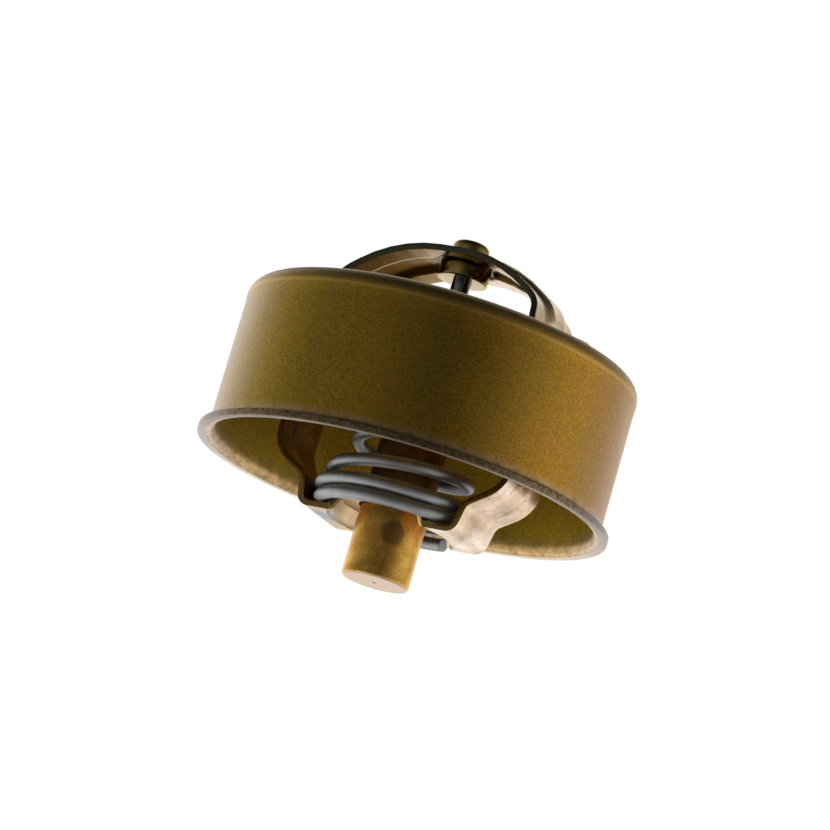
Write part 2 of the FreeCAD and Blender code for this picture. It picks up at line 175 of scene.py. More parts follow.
camera = {
    "azimuth": 26.5,                             # degrees from -Y towards +X
    "elevation": -12.007,
    "distance": 700 * mm,
    "lean": 16.279,                              # the valve's axis leans to the right by this
    "lens": 194.53,
    "sensor": 36.0,
    "clip": (0.01, 50),
    "imageSide": 830.0,
    "originPixel": (401.46, 489.42),             # where the middle of the open edge shows
}
studio = {
    "floorLevel": -0.46,
    "floorSide": 12.0,
    "floorColour": (0.93, 0.93, 0.93),
    "floorGlow": (0.52, 0.52, 0.52),             # for the camera alone, so that it looks pale
    "floorRoughness": 0.9,
    "skyColour": (1.0, 1.0, 1.0),
    "roomLevel": 0.02,                           # what is left between the panels
    "backLevel": 1.0,                            # the white backdrop, from backFrom on
    "backFrom": (-0.55, -0.9),                   # cosine to the camera where it sets in and is full
    "panels": (                                  # turn from the camera, spin from the right, level, width
        (72, 222, 0.95, 24), (102, 216, 0.4, 22),    # low on the left
        (72, 315, 1.0, 24), (102, 325, 0.6, 22),     # low on the right
        (84, 0, 0.45, 24),                           # on the right
        (112, 180, 0.6, 26), (132, 180, 0.6, 24),    # on the left, behind the valve
        (36, 128, 0.1, 20), (52, 138, 0.14, 18),     # high on the left, towards the camera
        (130, 285, 0.35, 26), (134, 320, 0.4, 24),   # low, behind the valve
    ),
}


def cameraAxes():
    turn, rise = math.radians(camera["azimuth"]), math.radians(camera["elevation"])
    back = Vector((math.sin(turn) * math.cos(rise), -math.cos(turn) * math.cos(rise), math.sin(rise)))
    flatRight = Vector((math.cos(turn), math.sin(turn), 0))
    flatUp = back.cross(flatRight)
    lean = math.radians(camera["lean"])
    right = flatRight * math.cos(lean) + flatUp * math.sin(lean)
    up = flatUp * math.cos(lean) - flatRight * math.sin(lean)
    return back, right, up


def makeCamera():
    back, right, up = cameraAxes()
    focal = camera["lens"] / camera["sensor"] * camera["imageSide"]
    across = (camera["originPixel"][0] - camera["imageSide"] / 2) / focal
    down = (camera["originPixel"][1] - camera["imageSide"] / 2) / focal
    ahead = (-back - right * across + up * down).normalized()
    right = (right - ahead * right.dot(ahead)).normalized()
    up = right.cross(ahead)
    data = bpy.data.cameras.new("camera")
    data.lens = camera["lens"]
    data.sensor_width = camera["sensor"]
    data.clip_start, data.clip_end = camera["clip"]
    view = bpy.data.objects.new("camera", data)
    view.matrix_world = Matrix.Translation(back * camera["distance"]) @ Matrix(
        (right, up, -ahead)).transposed().to_4x4()
    bpy.context.scene.collection.objects.link(view)
    bpy.context.scene.camera = view


def makeLight():
    # The world is a dim room with a white backdrop behind the valve and soft round panels. A panel's
    # light falls off as exp((cosine to its middle - 1) / width squared). The camera sees plain white.
    world = bpy.data.worlds.new("studio")
    world.use_nodes = True
    bpy.context.scene.world = world
    tree = world.node_tree
    sky = tree.nodes["Background"]
    coords = tree.nodes.new("ShaderNodeTexCoord")
    towards = Value(tree, coords.outputs["Generated"])
    back, right, up = cameraAxes()

    def along(direction):                        # cosine between a ray and a direction
        return towards.node("ShaderNodeVectorMath", {"operation": "DOT_PRODUCT"},
                            {0: towards, 1: tuple(direction)}, output=1)

    starts, full = studio["backFrom"]
    backdrop = (-1 * along(back)).step(-starts, -full)
    level = studio["roomLevel"] + backdrop * studio["backLevel"]
    for turn, spin, brightness, width in studio["panels"]:
        turn, spin = math.radians(turn), math.radians(spin)
        middle = back * math.cos(turn) + (right * math.cos(spin) + up * math.sin(spin)) * math.sin(turn)
        narrow = 1 / math.radians(width) ** 2
        level = level + towards.sum("EXPONENT", (along(middle) - 1) * narrow) * brightness
    seen = towards.node("ShaderNodeLightPath")   # its first output is Is Camera Ray
    strength = seen + (1 - seen) * level
    sky.inputs["Color"].default_value = (*studio["skyColour"], 1)
    tree.links.new(strength.socket, sky.inputs["Strength"])


def makeFloor():
    side = studio["floorSide"] / 2
    level = studio["floorLevel"]
    mesh = bpy.data.meshes.new("floor")
    mesh.from_pydata([(-side, -side, level), (side, -side, level), (side, side, level),
                      (-side, side, level)], [], [(0, 1, 2, 3)])
    floor = bpy.data.objects.new("floor", mesh)
    bpy.context.scene.collection.objects.link(floor)
    floor.visible_glossy = False                 # metal sees the white room past it
    material, shader, place = newMaterial("floorPaper")
    inView = place.node("ShaderNodeLightPath")   # its first output is Is Camera Ray
    feed(shader, "Base Color", studio["floorColour"])
    feed(shader, "Emission Color", inView.blend((0, 0, 0), studio["floorGlow"]))
    feed(shader, "Emission Strength", 1.0)
    feed(shader, "Roughness", studio["floorRoughness"])
    mesh.materials.append(material)


bpy.context.scene.view_settings.view_transform = "Standard"
makeCamera()
makeLight()
makeFloor()
print("camera and studio made")


# Sizes in millimetres that shapes and finishes share

sleeve = {
    "radius": 31.75,
    "height": 25.5,
    "sheet": 1.1,
    "shoulderBend": 2.7,
    "shoulderDraft": 0.05,                       # the wall leans in by this at the top
    "lipRadius": 33.25,
    "lipEdge": 1.1,
    "lipFillet": 0.8,
    "lipFlare": 1.7,
    "seatRadius": 16.5,
    "edgeRound": 0.15,
    "ridgeLevel": 22.9,
    "ridge": 0.1,
    "ridgeBend": 1.5,
    "waves": 0.06,
    "nick": (-5.8, -32.75, 1.0),                 # small dark nick in the lip
}
bridge = {
    "strip": 1.0,
    "footReach": 26.6,
    "footBend": 1.3,
    "footHalf": 9.0,
    "footCorner": 3.0,
    "footSteps": 12,
    "edge": 0.12,
    "stationStep": 0.35,
    "columns": 45,
}
arch = {
    "crownLevel": 37.25,
    "crownHalf": 8.75,
    "crownBend": 21.0,
    "kneeLevel": 31.5,
    "kneeHalf": 16.35,
    "kneeBend": 4.2,
    "ankleHalf": 17.9,
    "half": 7.5,
    "waistLevel": 32.6,
    "flareLevel": 27.8,
    "emboss": 0.8,
    "ribHalf": 3.4,
    "ribSlope": 1.0,
    "ribEnds": (28.1, 29.6),
    "padRadius": 5.3,
    "cutFrom": 25.4,                             # painted dark reflection on cut edges above this, the valve's disc below
    "stainAt": (0, 0, 0),                        # far from the strip, so that it has none
    "pale": (0.76, 0.61, 0.48),
    # painted shade colour, darker to the left
    "leftShade": (0.37, 0.23, 0.035),
    # painted edge light beside the cut edges, here a darker band
    "corner": (0.25, 0.18, 0.08),
    # painted dark reflection on the cut edges
    "cut": (0.06, 0.065, 0.04),
}
basket = {
    "floor": -6.7,
    "floorHalf": 13.72,
    "floorBend": 2.1,
    "hipHalf": 14.64,
    "hipLevel": -2.1,
    "hipBend": 1.6,
    "armHalf": 20.65,
    "armLevel": 1.6,
    "armBend": 6.5,
    "half": 6.3,
    "waistLevel": 12.7,
    "flareLevel": 19.8,
    "panelHalf": 3.0,
    "panelSlope": 0.7,
    "panelDepth": 0.35,
    "panelLow": (-1.5, -0.3),
    "panelHigh": (13.7, 16.7),
    "bossBase": 10.3,
    "bossRim": 8.7,
    "bossRise": 2.7,
    "stemHole": 5.8,
    "middleHalf": 11.0,
    "rings": 26,
    "cutFrom": -20,                              # below the strip, so that all its edges get the painted dark reflection
    # the grey-blue patch here is a painted reflection at the left lobe's bend
    "stainAt": (-12.5, -1.5, -6.7),
    "pale": (0.9, 0.78, 0.7),
    # painted shade colour, darker to the left
    "leftShade": (0.4, 0.26, 0.11),
    # painted edge light beside the cut edges, here a golden highlight
    "corner": (0.9, 0.62, 0.24),
    # painted dark reflection on the cut edges
    "cut": (0.2, 0.14, 0.05),
}
capsule = {
    "radius": 5.4,
    "wall": 0.9,
    "bottom": -15.45,
    "edge": 0.45,
    "dimple": 0.55,
    "dimpleBend": 0.05,
    "flange": 9.5,
    "flangeLevel": 18.4,
    "crimpLevel": 21.5,
    "crimpWall": 0.7,
    "crimpInner": 7.4,
    "round": 0.3,
}


# Finishes: a share with a colour is a layer, two colours are its ends, a span is in millimetres

sleeveLook = {
    "toRight": (27, 12),                         # along X and Y: -1 at the view's left, 1 at its right
    "toBack": (-13.5, 27),                       # the same from the near side to the far one
    "wall": ((0.44, 0.28, 0.026), (0.63, 0.315, 0.045)),     # olive, golden
    "litInside": ((0.62, 0.42, 0.035), (1.0, 0.7, 0.05)),         # brighter inside: painted light for the light bounced inside the sleeve
    "warmth": {"middle": 0.35, "right": 0.5, "patches": 0.5},    # how golden it is
    "grainShade": 0.52,
    "grainContrast": (0.33, 0.67),
    "lines": (0.25, (0.3, 0.19, 0.08)),
    "linesContrast": (0.5, 0.75),
    "lilac": ((0.6, 0.53, 0.52), (0.28, 0.22, 0.2)),         # painted grazing reflection on the flanks: at the left, at the right
    "lilacTurn": (-0.2, 0.2),
    "lilacFrom": (0.66, 1.04),
    "lilacShare": 0.28,
    "shoulder": (0.3, 0.21, 0.13),
    "shoulderShare": 0.45,
    "shoulderSpan": (23.3, 24.1),
    "patchShare": 0.3,                           # lilac and shoulder cover more in the patches
    # painted highlight: a golden line along the ridge below the shoulder
    "ridge": (0.35, (0.78, 0.5, 0.16)),
    "ridgeHighlightSpan": (0.1, 0.6),
    # painted shadow: a dark band on the wall just over the lip
    "lipShadow": (0.6, (0.12, 0.1, 0.03)),
    "lipShadowSpan": (0.2, 1.7),
    "outsideSpan": (-0.6, -0.5),
    "flare": ((0.4, 0.25, 0.1), (0.86, 0.6, 0.31)),
    "flareSpan": (0.3, 3.3),
    "flareEnd": (-0.4, 0),
    "rim": ((0.1, 0.07, 0.045), (0.3, 0.22, 0.13)),
    "rimSpan": (-0.3, -0.1),
    "lipShare": 0.85,                            # of flare and rim
    "under": ((0.15, 0.115, 0.075), (0.78, 0.64, 0.52)),     # painted shade on the near side, painted reflection on the far side: near, far
    "underTurn": (-0.6, 0.5),
    "underSpan": (0.01, 0.1),
    "underShare": (0.75, 0.2),                   # everywhere, and more where it is smeared
    "ends": (0.6, (0.38, 0.35, 0.36)),           # painted grazing reflection: grey at the lip's left and right ends
    "endsFrom": (0.76, 1.02),
    "endsSpan": (1.5, 4),
    "nick": (0.9, (0.02, 0.02, 0.02)),
    "nickRadius": 0.35,
    "nickSoft": 0.2,
    "specks": (0.4, (0.12, 0.08, 0.03)),
    "metal": (0.72, 0.28),                       # inside, and more outside
    "roughness": {"all": 0.54, "outside": -0.14, "grain": 0.16, "patches": 0.06},
    "height": {"lines": 0.4},                    # beside the grain's
    "grainDepth": 9e-6,
}


def drawnBrass(name):
    # Dull deep-drawn brass: olive on one side and golden on the other, cloudy in patches and
    # finely grained, with faint drawing lines down the wall, a brown-grey shoulder and a worn lip.
    # Painted light: paler inside, painted grazing reflections at the flanks and lip ends, a painted
    # highlight along the ridge, a painted shadow over the lip, and under the lip painted shade near
    # and painted reflection far.
    s, look = sleeve, sleeveLook
    material, shader, place = newMaterial(name)
    x, y, z = axes(place)
    radius = (x * x + y * y) ** 0.5
    side = x * look["toRight"][0] + y * look["toRight"][1]
    depth = x * look["toBack"][0] + y * look["toBack"][1]
    patches = noise(place, scale=110, detail=4.0, rough=0.6, contrast=(0.3, 0.7))
    grain = noise(place, scale=3300, rough=0.75)
    lines = noise(place, scale=700, detail=2.0, rough=0.5, stretch=(1, 1, 0.03))
    specks = noise(place, scale=1100, detail=1.0, rough=0.4, contrast=(0.72, 0.78))
    smear = noise(place, scale=620, detail=5.0, rough=0.7, contrast=(0.3, 0.62))
    marks = noise(place, scale=1900, rough=0.7, contrast=(0.35, 0.65))
    outside = radius.past(look["outsideSpan"], s["radius"])
    outside = outside.sum("MAXIMUM", outside, z.past(look["outsideSpan"], s["height"]))

    share = look["warmth"]
    warmth = (side * share["right"] + share["middle"] + share["patches"] * (patches - 0.5)).held()
    # the inside is paler: painted light for the light bounced inside the sleeve
    colour = outside.blend(warmth.blend(*look["litInside"]), warmth.blend(*look["wall"]))
    colour = grain.step(*look["grainContrast"]).blend(darker(colour, look["grainShade"]), colour)
    colour = coat(colour, lines.step(*look["linesContrast"]), *look["lines"])
    # painted grazing reflection, lilac, on the view's left and right flanks
    lilac = side.step(*look["lilacTurn"]).blend(*look["lilac"])
    cloudy = patches * look["patchShare"]
    grazingFlanks = side.size().step(*look["lilacFrom"]) * outside
    colour = coat(colour, grazingFlanks, look["lilacShare"] + cloudy, lilac)
    shoulder = z.past(look["shoulderSpan"])
    colour = coat(colour, shoulder, look["shoulderShare"] + cloudy, look["shoulder"])
    # painted highlight along the ridge
    ridge = 1 - (z - s["ridgeLevel"] * mm).size().past(look["ridgeHighlightSpan"])
    colour = coat(colour, ridge * outside, *look["ridge"])

    # painted shadow just over the lip
    lipShadow = (1 - z.past(look["lipShadowSpan"], s["lipEdge"])) * outside
    colour = coat(colour, lipShadow, *look["lipShadow"])
    flare = (1 - z.past(look["flareSpan"])) * (1 - radius.past(look["flareEnd"], s["lipRadius"]))
    colour = coat(colour, flare, look["lipShare"], smear.blend(*look["flare"]))
    rim = radius.past(look["rimSpan"], s["lipRadius"])
    colour = coat(colour, rim, look["lipShare"], marks.blend(*look["rim"]))
    # under the lip: darker near and paler far, painted shade and painted reflection, more where smeared
    under = 1 - z.past(look["underSpan"])
    underShadeAndSheen = depth.step(*look["underTurn"]).blend(*look["under"])
    everywhere, smeared = look["underShare"]
    colour = coat(colour, under, everywhere + smeared * smear, underShadeAndSheen)
    # painted grazing reflection at the lip's left and right ends
    ends = side.size().step(*look["endsFrom"]) * (1 - z.past(look["endsSpan"]))
    colour = coat(colour, ends, *look["ends"])
    colour = coat(colour, near(place, s["nick"], look["nickRadius"], look["nickSoft"]), *look["nick"])
    colour = coat(colour, specks, *look["specks"])

    inner, more = look["metal"]
    share = look["roughness"]
    roughness = share["all"] + share["outside"] * outside + share["grain"] * (grain - 0.5)
    feed(shader, "Base Color", colour)
    feed(shader, "Metallic", inner + more * outside)
    feed(shader, "Roughness", roughness + share["patches"] * patches)
    feed(shader, "Normal", bump(grain + look["height"]["lines"] * lines, look["grainDepth"]))
    return material


stripLook = {
    "outOfReach": 10.0,                          # takes the edge off what lies below cutFrom
    "cutFade": (-0.2, 0),
    "cornerBand": (-0.24, -0.16),                # painted edge light beside the cut edge, from the strip's edge
    # painted dark reflection on the cut edges
    "cutBand": (-0.07, -0.03),
    "cutRoughness": 0.16,
    "roughness": {"patches": 0.1, "scratches": 0.08},
    "height": {"scratches": 0.6, "pits": -0.8},  # beside the fine grain's
    "crownRadius": 8.0,                          # a paler crown
    "crownSoft": 1.5,
    "sheenRightSpan": (2, 10),                        # painted sheen paler to the right, painted shade darker to the left
    "shadeLeftSpan": (-12, 8),
    # grey-blue patch round stainAt: on the lower bridge a painted reflection at the left lobe's bend
    "stainRadius": 3.6,
    "stainSoft": 1.2,
    "stain": (0.26, 0.26, 0.3),
    "padSoft": 0.6,                              # the pad round the plug is as dark as the cut
    "shares": {"crown": 0.5, "pale": 0.5, "right": 0.2, "leftShade": 0.7, "stain": (0.5, 0.4), "corner": 0.8,
               "cut": 0.9, "pad": 0.85},
    "pits": (0.6, (0.12, 0.07, 0.03)),
}


def stampedBrass(name, dull, bright, roughness, grain, strip=None):
    # Rolled strip: two tones in patches, scratches and small dark pits. On a bridge the half width goes
    # from the foot's to its own with its level, and its cut edges are smooth, with a painted dark
    # reflection on them and painted edge light beside them. A bridge is also paler to the right, painted
    # sheen, and darker to the left, painted shade; the lower one gets a grey-blue painted reflection at
    # its left lobe.
    look, share = stripLook, stripLook["shares"]
    material, shader, place = newMaterial(name)
    x, y, z = axes(place)
    patches = noise(place, scale=180, detail=5.0, rough=0.65, contrast=(0.35, 0.65))
    fine = noise(place, scale=2400, detail=2.0)
    scratches = noise(place, scale=1200, detail=2.0, rough=0.5, stretch=(0.06, 1, 0.06),
                      contrast=(0.58, 0.72))
    pits = noise(place, scale=1700, detail=1.0, rough=0.4, contrast=(0.7, 0.76))
    colour = patches.blend(dull, bright)
    uneven = look["roughness"]["patches"] * (patches - 0.5)
    gloss = roughness + uneven + look["roughness"]["scratches"] * scratches
    if strip is not None:
        narrow = strip["half"] - bridge["footHalf"]
        half = bridge["footHalf"] + narrow * z.past((strip["flareLevel"], strip["waistLevel"]))
        below = 1 - z.past(look["cutFade"], strip["cutFrom"])
        overEdge = y.size() / mm - half - look["outOfReach"] * below
        corner = overEdge.step(*look["cornerBand"])
        edge = overEdge.step(*look["cutBand"])
        middle = (0, 0, arch["crownLevel"])
        pale = noise(place, scale=130, detail=4.0, rough=0.6, contrast=(0.48, 0.62))
        crown = near(place, middle, look["crownRadius"], look["crownSoft"])
        # paler in random patches and at the crown, and to the right as painted sheen
        paleAndSheen = pale * share["pale"] + crown * share["crown"] + x.past(look["sheenRightSpan"]) * share["right"]
        colour = paleAndSheen.held().blend(colour, strip["pale"])
        # painted shade: darker to the left
        colour = coat(colour, 1 - x.past(look["shadeLeftSpan"]), share["leftShade"], strip["leftShade"])
        # grey-blue patch round stainAt, on the lower bridge a painted reflection
        stain = near(place, strip["stainAt"], look["stainRadius"], look["stainSoft"])
        everywhere, patchy = share["stain"]
        colour = coat(colour, stain, everywhere + patchy * patches, look["stain"])
        # painted edge light beside the cut edges
        colour = coat(colour, corner, share["corner"], strip["corner"])
        # painted dark reflection on the cut edges
        colour = coat(colour, edge, share["cut"], strip["cut"])
        pad = near(place, middle, arch["padRadius"], look["padSoft"])
        colour = coat(colour, pad, share["pad"], strip["cut"])
        gloss = gloss - (roughness - look["cutRoughness"]) * edge
    colour = coat(colour, pits, *look["pits"])
    feed(shader, "Base Color", colour)
    feed(shader, "Metallic", 1.0)
    feed(shader, "Roughness", gloss)
    height = fine + look["height"]["scratches"] * scratches + look["height"]["pits"] * pits
    feed(shader, "Normal", bump(height, grain))
    return material


capsuleLook = {
    "clouds": ((0.62, 0.34, 0.05), (0.96, 0.57, 0.13)),
    "cloudContrast": (0.35, 0.65),
    "orange": (0.5, (0.8, 0.36, 0.06)),
    "grainShade": 0.68,
    "grainContrast": (0.35, 0.65),
    "stainAt": (2.96, -4.52, -8.1),
    "stainRadius": 1.9,
    "stainSoft": 0.3,
    "stain": (0.75, (0.24, 0.13, 0.04)),
    "insideShade": (0.85, (0.13, 0.07, 0.04)),        # painted shade where the cup runs up into the lower bridge to the flange
    "insideShadeSpan": (-6, 3),
    "end": (0.8, (0.6, 0.46, 0.36)),
    "endSpan": (0.02, 0.3),
    "mark": (0.9, (0.1, 0.07, 0.05)),            # painted shade: dark point in the dimple in the middle of the end
    "markRadius": 0.4,
    "markSoft": 0.15,
    "roughness": {"all": 0.4, "clouds": 0.12, "grain": 0.12},
    "grainDepth": 7e-6,
}


def cupBrass(name):
    # Drawn cup, stained by heat: golden with orange and brown clouds and one round dark stain.
    # Painted shade darkens it from the lower bridge up to the flange, and in the dimple at its end.
    look = capsuleLook
    material, shader, place = newMaterial(name)
    level = axes(place)[2]
    clouds = noise(place, scale=260, detail=5.0, rough=0.65)
    orange = noise(place, scale=420, rough=0.6, contrast=(0.5, 0.68))
    grain = noise(place, scale=3000, rough=0.75)
    colour = clouds.step(*look["cloudContrast"]).blend(*look["clouds"])
    colour = coat(colour, orange, *look["orange"])
    colour = grain.step(*look["grainContrast"]).blend(darker(colour, look["grainShade"]), colour)
    stain = near(place, look["stainAt"], look["stainRadius"], look["stainSoft"])
    colour = coat(colour, stain, *look["stain"])
    # painted shade from where the cup enters the lower bridge up to the flange
    colour = coat(colour, level.past(look["insideShadeSpan"]), *look["insideShade"])
    colour = coat(colour, 1 - level.past(look["endSpan"], capsule["bottom"]), *look["end"])
    # painted shade in the dimple
    mark = near(place, (0, 0, capsule["bottom"]), look["markRadius"], look["markSoft"])
    colour = coat(colour, mark, *look["mark"])
    share = look["roughness"]
    uneven = share["clouds"] * (clouds - 0.5) + share["grain"] * (grain - 0.5)
    feed(shader, "Base Color", colour)
    feed(shader, "Metallic", 1.0)
    feed(shader, "Roughness", share["all"] + uneven)
    feed(shader, "Normal", bump(grain, look["grainDepth"]))
    return material


steelLook = {
    "cloudShade": 0.8,
    "cloudContrast": (0.3, 0.7),
    "grainShade": 0.88,
    "grainContrast": (0.2, 0.8),
    "roughness": {"clouds": 0.14, "grain": 0.06},
}


def steel(name, colour, roughness, grain):
    # Ground or drawn steel: nearly one grey, with cloudy gloss and a fine texture.
    look, share = steelLook, steelLook["roughness"]
    material, shader, place = newMaterial(name)
    clouds = noise(place, scale=380, detail=4.0, rough=0.6)
    fine = noise(place, scale=2600, detail=2.0, rough=0.6)
    dark = tuple(look["cloudShade"] * part for part in colour)
    shade = clouds.step(*look["cloudContrast"]).blend(dark, colour)
    shade = fine.step(*look["grainContrast"]).blend(darker(shade, look["grainShade"]), shade)
    uneven = share["clouds"] * (clouds - 0.5) + share["grain"] * (fine - 0.5)
    feed(shader, "Base Color", shade)
    feed(shader, "Metallic", 1.0)
    feed(shader, "Roughness", roughness + uneven)
    feed(shader, "Normal", bump(fine, grain))
    return material


plainLook = {"cloudShade": 0.75, "cloudContrast": (0.3, 0.7), "cloudRoughness": 0.15}


def plain(name, colour, roughness, grain):
    # Rubber, wax or plastic with a soft clouding.
    look = plainLook
    material, shader, place = newMaterial(name)
    clouds = noise(place, scale=350, detail=4.0)
    dark = tuple(look["cloudShade"] * part for part in colour)
    feed(shader, "Base Color", clouds.step(*look["cloudContrast"]).blend(dark, colour))
    feed(shader, "Roughness", roughness + look["cloudRoughness"] * (clouds - 0.5))
    feed(shader, "Normal", bump(noise(place, scale=3000), grain))
    return material


finishes = {
    "drawn_brass": drawnBrass("drawnBrass"),
    "stamped_brass": stampedBrass("stampedBrass", dull=(0.3, 0.19, 0.04), bright=(0.54, 0.36, 0.1),
                                  roughness=0.3, grain=6e-6, strip=arch),
    "blasted_brass": stampedBrass("blastedBrass", dull=(0.38, 0.25, 0.11), bright=(0.84, 0.61, 0.4),
                                  roughness=0.34, grain=26e-6, strip=basket),
    "turned_brass": stampedBrass("turnedBrass", dull=(0.22, 0.15, 0.035), bright=(0.42, 0.3, 0.09),
                                 roughness=0.14, grain=3e-6),
    "cup_brass": cupBrass("cupBrass"),
    "ground_steel": steel("groundSteel", (0.3, 0.3, 0.32), roughness=0.22, grain=2e-6),
    "spring_steel": steel("springSteel", (0.46, 0.47, 0.48), roughness=0.52, grain=9e-6),
    "black_rubber": plain("blackRubber", (0.03, 0.03, 0.03), roughness=0.6, grain=4e-6),
    "hard_plastic": plain("hardPlastic", (0.8, 0.78, 0.72), roughness=0.45, grain=2e-6),
    "wax": plain("copperWax", (0.62, 0.36, 0.2), roughness=0.6, grain=4e-6),
}
for part in frame["record"]["subparts"]:         # the nodes that stay get their slot's finish
    mesh = frame["nodes"][part["node"]].data
    mesh.materials.clear()
    mesh.materials.append(finishes[part["material_slot"]])
print("finishes made")


# Outlines and grids

arcStep = math.radians(9)                        # one face for so much of a bend
weld = 0.002 * mm                                # points this close become one


def smooth(low, high, value):                    # 0 below low, 1 above high, cubic between
    share = np.clip((value - low) / (high - low), 0, 1)
    return share * share * (3 - 2 * share)


def bendLine(corners, closed, span):
    # Straight runs joined by arcs. A corner is (across, up, bend): its arc leaves each run at
    # bend / tan(half the angle at the corner). Runs are cut into lengths of at most span.
    flat = np.array([corner[:2] for corner in corners], float)
    bends = [corner[2] if len(corner) > 2 else 0 for corner in corners]
    runs = []
    for i, (point, bend) in enumerate(zip(flat, bends)):
        if bend == 0:
            runs.append(point[None])
            continue
        sides = np.array([flat[i - 1], flat[(i + 1) % len(flat)]]) - point
        sides /= np.linalg.norm(sides, axis=1)[:, None]
        turn = math.pi - math.acos(sides[0] @ sides[1])
        middle = point + (sides[0] + sides[1]) / np.linalg.norm(sides.sum(0)) * bend / math.cos(turn / 2)
        ends = point + sides * bend * math.tan(turn / 2) - middle
        share = np.linspace(0, 1, max(3, math.ceil(turn / arcStep)) + 1)[:, None]
        arc = ends[0] * np.sin((1 - share) * turn) + ends[1] * np.sin(share * turn)
        runs.append(middle + arc / math.sin(turn))
    line = np.concatenate(runs)
    if closed:
        line = np.vstack([line, line[:1]])
    steps = np.linalg.norm(np.diff(line, axis=0), axis=1)
    cuts = np.maximum(1, np.ceil(steps / span)).astype(int)
    run = np.repeat(np.arange(len(cuts)), cuts)
    share = (np.arange(cuts.sum()) - np.repeat(np.cumsum(cuts) - cuts, cuts)) / cuts[run]
    points = line[run] + (line[run + 1] - line[run]) * share[:, None]
    return points if closed else np.vstack([points, line[-1:]])


def gridFaces(rows, columns, wrapRows, wrapColumns):
    # Four numbered corners for each cell of a grid whose last row or column may meet the first.
    row = np.arange(rows if wrapRows else rows - 1)[:, None]
    column = np.arange(columns if wrapColumns else columns - 1)[None, :]
    nextRow, nextColumn = (row + 1) % rows, (column + 1) % columns
    corners = [row * columns + column, row * columns + nextColumn,
               nextRow * columns + nextColumn, nextRow * columns + column]
    return np.stack([np.broadcast_to(corner, corners[1].shape) for corner in corners], -1).reshape(-1, 4)


def turned(profile, around, waves=0.0):
    # Each (radius, level) of the profile goes round the valve's axis. The radius gives way by up to
    # waves, in three slow swells and five smaller ones.
    angle = np.linspace(0, 2 * math.pi, around, endpoint=False)
    swell = waves * (0.5 * (1 + np.sin(3 * angle + 1)) + 0.25 * (1 + np.sin(5 * angle))) / 1.5
    radius = profile[:, :1] * np.ones(around)
    radius = radius - swell * np.minimum(1, radius)
    level = profile[:, 1:] * np.ones(around)
    points = np.stack([radius * np.cos(angle), radius * np.sin(angle), level], -1)
    return points, gridFaces(len(profile), around, True, True)


def putPiece(name, shapes, finish, body, nodes, sharp=40, closed=True):
    # shapes is a list of (grid of points in millimetres, faces); equal points become one
    points, faces, count = [], [], 0
    for grid, cells in shapes:
        flat = grid.reshape(-1, 3) * mm
        points.append(flat)
        faces.append(cells + count)
        count += len(flat)
    mesh = bpy.data.meshes.new(name)
    mesh.from_pydata(np.concatenate(points).tolist(), [], np.concatenate(faces).tolist())
    shell = bmesh.new()
    shell.from_mesh(mesh)
    bmesh.ops.remove_doubles(shell, verts=shell.verts, dist=weld)
    bmesh.ops.dissolve_degenerate(shell, edges=shell.edges, dist=weld / 2)
    bmesh.ops.recalc_face_normals(shell, faces=shell.faces)
    shell.to_mesh(mesh)
    shell.free()
    mesh.shade_smooth()
    if closed:
        mesh.set_sharp_from_angle(angle=math.radians(sharp))
    mesh.materials.append(finishes[finish])
    piece = bpy.data.objects.new(name, mesh)
    bpy.context.scene.collection.objects.link(piece)
    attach(piece, body)
    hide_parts(*nodes)
    return piece


def thicken(piece, sheet, edge):                 # a middle surface becomes a sheet with broken edges
    wall = piece.modifiers.new("sheet", "SOLIDIFY")
    wall.thickness = sheet * mm
    wall.offset = 0
    wall.use_even_offset = True
    bevel = piece.modifiers.new("edges", "BEVEL")
    bevel.width = edge * mm
    bevel.segments = 3
    bevel.limit_method = "ANGLE"
    bevel.angle_limit = math.radians(50)
    weigh = piece.modifiers.new("shading", "WEIGHTED_NORMAL")
    weigh.keep_sharp = False


# Sleeve

def makeSleeve():
    # The outline goes up the outside, over the shoulder to the seat, and back down the inside.
    s = sleeve
    inside = s["radius"] - s["sheet"]
    under = s["height"] - s["sheet"]
    profile = bendLine([
        (s["lipRadius"], 0, s["edgeRound"]),
        (s["lipRadius"], s["lipEdge"], s["edgeRound"]),
        (s["radius"], s["lipEdge"], s["lipFillet"]),
        (s["radius"], s["ridgeLevel"] - s["ridgeBend"]),
        (s["radius"] + s["ridge"], s["ridgeLevel"], s["ridgeBend"]),
        (s["radius"] - s["shoulderDraft"], s["height"], s["shoulderBend"]),
        (s["seatRadius"], s["height"], s["edgeRound"]),
        (s["seatRadius"], under, s["edgeRound"]),
        (inside, under, s["shoulderBend"] - s["sheet"]),
        (inside, 0, s["lipFlare"]),
    ], closed=True, span=0.6)
    shape = turned(profile, around=256, waves=s["waves"])
    putPiece("sleeve", [shape], "drawn_brass", "housing", ["sleeve"])


makeSleeve()
print("sleeve made")


# Bridges: both are strips along a path, worked out as middle surfaces

def stations(path):
    # The length run at each point of the path, and steps that crowd together at a foot's end: the
    # corner's radius times 1 - cosine.
    length = np.concatenate([[0], np.cumsum(np.linalg.norm(np.diff(path, axis=0), axis=1))])
    bend = np.linspace(0, math.pi / 2, bridge["footSteps"])
    return length, bridge["footCorner"] * (1 - np.cos(bend))


def alongPath(path, places, length):
    # The path's point at each place, with the direction to the left of travel.
    point = np.stack([np.interp(places, length, path[:, axis]) for axis in (0, 1)], -1)
    ahead = np.gradient(point, places, axis=0)
    ahead /= np.linalg.norm(ahead, axis=1)[:, None]
    return point, np.stack([-ahead[:, 1], ahead[:, 0]], -1)


